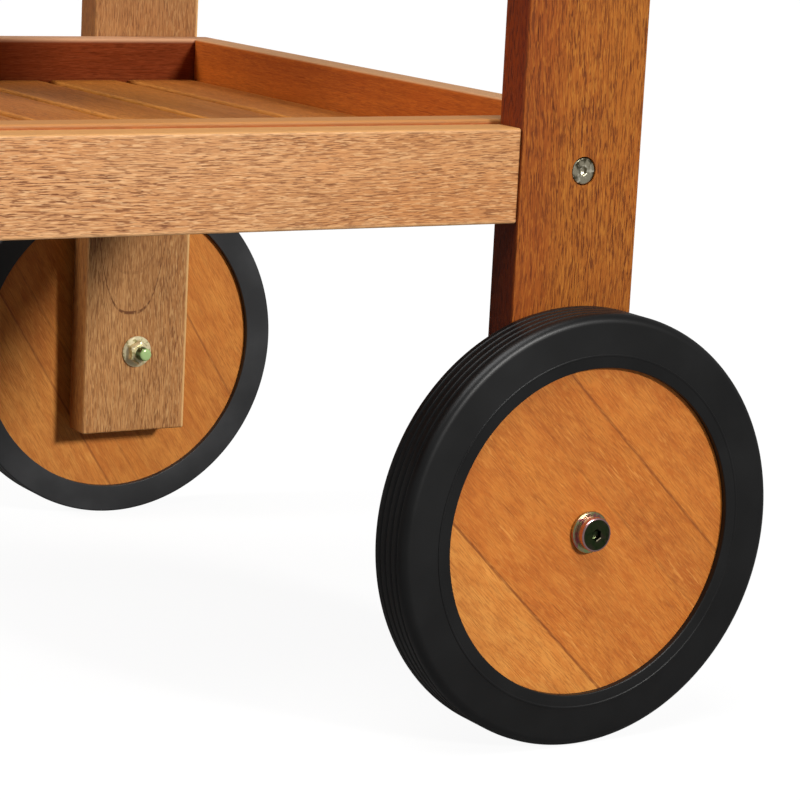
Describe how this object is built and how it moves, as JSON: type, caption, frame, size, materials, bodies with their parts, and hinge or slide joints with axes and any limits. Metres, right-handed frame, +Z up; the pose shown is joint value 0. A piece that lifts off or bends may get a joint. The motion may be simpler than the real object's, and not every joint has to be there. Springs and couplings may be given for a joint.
{
  "type": "garden cart",
  "caption": "Two-tier hardwood serving cart with slatted trays, a push bar, glides under one pair of legs, and wooden disc wheels with black tyres on the other.",
  "frame": {"origin": "on the floor, halfway along the overall length and halfway across the overall width", "axes": "+X along the cart towards the wheels, +Y across it, +Z up"},
  "size_m": [0.8134, 0.5506, 0.78],
  "materials": {
    "leg_wood": "oiled, red-brown",
    "rail_wood": "oiled, light tan",
    "board_wood": "oiled",
    "slat_wood": "oiled",
    "disc_wood": "oiled, orange-brown",
    "dowel_wood": "plain beech",
    "tyre_rubber": "matt black",
    "yellow_zinc": "yellow passivated zinc",
    "nickel": "nickel plated",
    "nylon": "moulded black nylon"
  },
  "bodies": {
    "frame": {"axle_bolts": "yellow_zinc", "axle_spacers": "nylon", "axle_washers": "yellow_zinc", "flange_nuts": "yellow_zinc", "foot_glides": "nylon", "handle_bar": "board_wood", "insert_nuts": "nickel", "joint_bolts": "nickel", "leg_foot_far": "leg_wood", "leg_foot_near": "leg_wood", "leg_wheel_far": "leg_wood", "leg_wheel_near": "leg_wood", "lower_cleat_far": "slat_wood", "lower_cleat_near": "slat_wood", "lower_end_board_handle": "board_wood", "lower_end_board_wheel": "board_wood", "lower_rail_far": "rail_wood", "lower_rail_near": "rail_wood", "lower_side_board_far": "board_wood", "lower_side_board_near": "board_wood", "lower_slat_01": "slat_wood", "lower_slat_02": "slat_wood", "lower_slat_03": "slat_wood", "lower_slat_04": "slat_wood", "lower_slat_05": "slat_wood", "lower_slat_06": "slat_wood", "lower_slat_07": "slat_wood", "lower_slat_08": "slat_wood", "lower_slat_09": "slat_wood", "lower_slat_10": "slat_wood", "lower_slat_11": "slat_wood", "slat_screws": "yellow_zinc", "upper_cleat_far": "slat_wood", "upper_cleat_near": "slat_wood", "upper_end_board_handle": "board_wood", "upper_end_board_wheel": "board_wood", "upper_rail_far": "rail_wood", "upper_rail_near": "rail_wood", "upper_side_board_far": "board_wood", "upper_side_board_near": "board_wood", "upper_slat_01": "slat_wood", "upper_slat_02": "slat_wood", "upper_slat_03": "slat_wood", "upper_slat_04": "slat_wood", "upper_slat_05": "slat_wood", "upper_slat_06": "slat_wood", "upper_slat_07": "slat_wood", "upper_slat_08": "slat_wood", "upper_slat_09": "slat_wood", "upper_slat_10": "slat_wood", "upper_slat_11": "slat_wood", "wood_dowels": "dowel_wood"},
    "wheel_near": {"tyre_near": "tyre_rubber", "wheel_disc_near": "disc_wood", "wheel_bush_near": "nylon"},
    "wheel_far": {"tyre_far": "tyre_rubber", "wheel_disc_far": "disc_wood", "wheel_bush_far": "nylon"}
  },
  "joints": [
    {"name": "near_wheel_spin", "type": "hinge", "parent": "frame", "child": "wheel_near", "pos_m": [0.29925, -0.2585, 0.1075], "axis": [0, 1, 0], "continuous": true},
    {"name": "far_wheel_spin", "type": "hinge", "parent": "frame", "child": "wheel_far", "pos_m": [0.29925, 0.2585, 0.1075], "axis": [0, 1, 0], "continuous": true}
  ]
}
